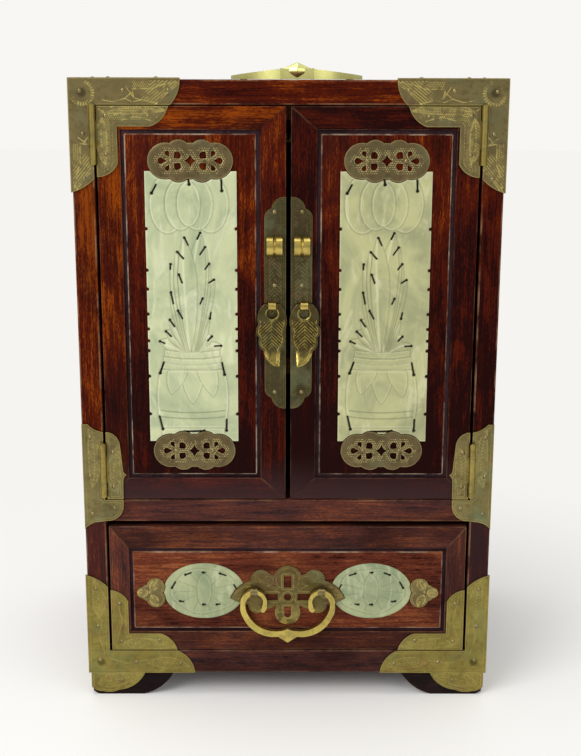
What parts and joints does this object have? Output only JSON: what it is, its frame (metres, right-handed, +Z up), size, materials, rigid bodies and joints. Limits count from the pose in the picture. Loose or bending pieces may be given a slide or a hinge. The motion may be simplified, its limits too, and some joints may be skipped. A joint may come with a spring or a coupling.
{
  "type": "jewelry cabinet",
  "caption": "Small upright wooden jewelry cabinet with hinged doors over a drawer, carved stone plaques, engraved brass corners, leaf pulls, a drawer bail and a lifting handle on top.",
  "frame": {"origin": "centre of the bounding box on the floor, under the middle of the cabinet", "axes": "+Z up, the doors and the drawer face -Y, +X to the right of a viewer in front"},
  "size_m": [0.233, 0.1728, 0.3608],
  "materials": {
    "case_wood": "dark red-brown varnish, satin",
    "front_wood": "red-brown varnish worn at the edges, satin",
    "drawer_wood": "plain oiled wood",
    "lining_fabric": "short silk brocade stretched on card",
    "carved_stone": "polished pale grey-green stone",
    "sheet_brass": "aged, stippled and engraved",
    "cast_brass": "polished by use",
    "nail_brass": "polished",
    "steel": "plain"
  },
  "bodies": {
    "case": {"top_board": "case_wood", "bottom_board": "case_wood", "left_side_board": "case_wood", "right_side_board": "case_wood", "divider_board": "case_wood", "back_board": "case_wood", "shelf_board": "case_wood", "cupboard_lining": "lining_fabric", "hook_rail": "case_wood", "necklace_hooks": "cast_brass", "door_stop_strip": "case_wood", "catch_magnets": "steel", "drawer_stops": "case_wood", "front_feet": "case_wood", "rear_feet": "case_wood", "left_top_corner_plate": "sheet_brass", "right_top_corner_plate": "sheet_brass", "left_lower_hinge_plate": "sheet_brass", "right_lower_hinge_plate": "sheet_brass", "left_bottom_corner_plate": "sheet_brass", "right_bottom_corner_plate": "sheet_brass", "foot_plates": "sheet_brass", "case_nails": "nail_brass", "hinge_pins": "nail_brass", "top_handle_posts": "cast_brass"},
    "drawer": {"drawer_front_frame": "front_wood", "drawer_front_panel": "front_wood", "drawer_sides": "drawer_wood", "drawer_back": "drawer_wood", "drawer_bottom": "drawer_wood", "drawer_lining": "lining_fabric", "drawer_ovals": "carved_stone", "drawer_corner_plates": "sheet_brass", "drawer_end_plates": "sheet_brass", "drawer_bail_plate": "sheet_brass", "drawer_bail_straps": "cast_brass", "drawer_nails": "nail_brass"},
    "drawer_bail": {"drawer_bail": "cast_brass"},
    "top_handle": {"top_handle_bail": "cast_brass"},
    "left_door": {"left_door_frame": "front_wood", "left_door_panel": "front_wood", "left_door_plaque": "carved_stone", "left_door_cloud_plates": "sheet_brass", "left_door_hinge_plates": "sheet_brass", "left_lock_plate": "sheet_brass", "left_door_loops": "cast_brass", "left_door_nails": "nail_brass", "left_door_keeper": "steel"},
    "left_pull": {"left_leaf_pull": "cast_brass"},
    "right_door": {"right_door_frame": "front_wood", "right_door_panel": "front_wood", "right_door_plaque": "carved_stone", "right_door_cloud_plates": "sheet_brass", "right_door_hinge_plates": "sheet_brass", "right_lock_plate": "sheet_brass", "right_door_loops": "cast_brass", "right_door_nails": "nail_brass", "right_door_keeper": "steel"},
    "right_pull": {"right_leaf_pull": "cast_brass"}
  },
  "joints": [
    {"name": "right_door_hinge", "type": "hinge", "parent": "case", "child": "right_door", "pos_m": [0.1032, -0.0806, 0.2294], "axis": [0, 0, 1], "range_deg": [0, 175]},
    {"name": "left_door_hinge", "type": "hinge", "parent": "case", "child": "left_door", "pos_m": [-0.1032, -0.0806, 0.2294], "axis": [0, 0, -1], "range_deg": [0, 175]},
    {"name": "right_pull_swing", "type": "hinge", "parent": "right_door", "child": "right_pull", "pos_m": [0.0087, -0.08125, 0.2317], "axis": [-1, 0, 0], "range_deg": [0, 130]},
    {"name": "left_pull_swing", "type": "hinge", "parent": "left_door", "child": "left_pull", "pos_m": [-0.0087, -0.08125, 0.2317], "axis": [-1, 0, 0], "range_deg": [0, 130]},
    {"name": "drawer_slide", "type": "slide", "parent": "case", "child": "drawer", "axis": [0, -1, 0], "range_m": [0, 0.115]},
    {"name": "drawer_bail_swing", "type": "hinge", "parent": "drawer", "child": "drawer_bail", "pos_m": [0, -0.082, 0.0659], "axis": [-1, 0, 0], "range_deg": [0, 120]},
    {"name": "top_handle_swing", "type": "hinge", "parent": "case", "child": "top_handle", "pos_m": [0.0048, 0.0039, 0.353], "axis": [-1, 0, 0], "range_deg": [0, 165]}
  ]
}
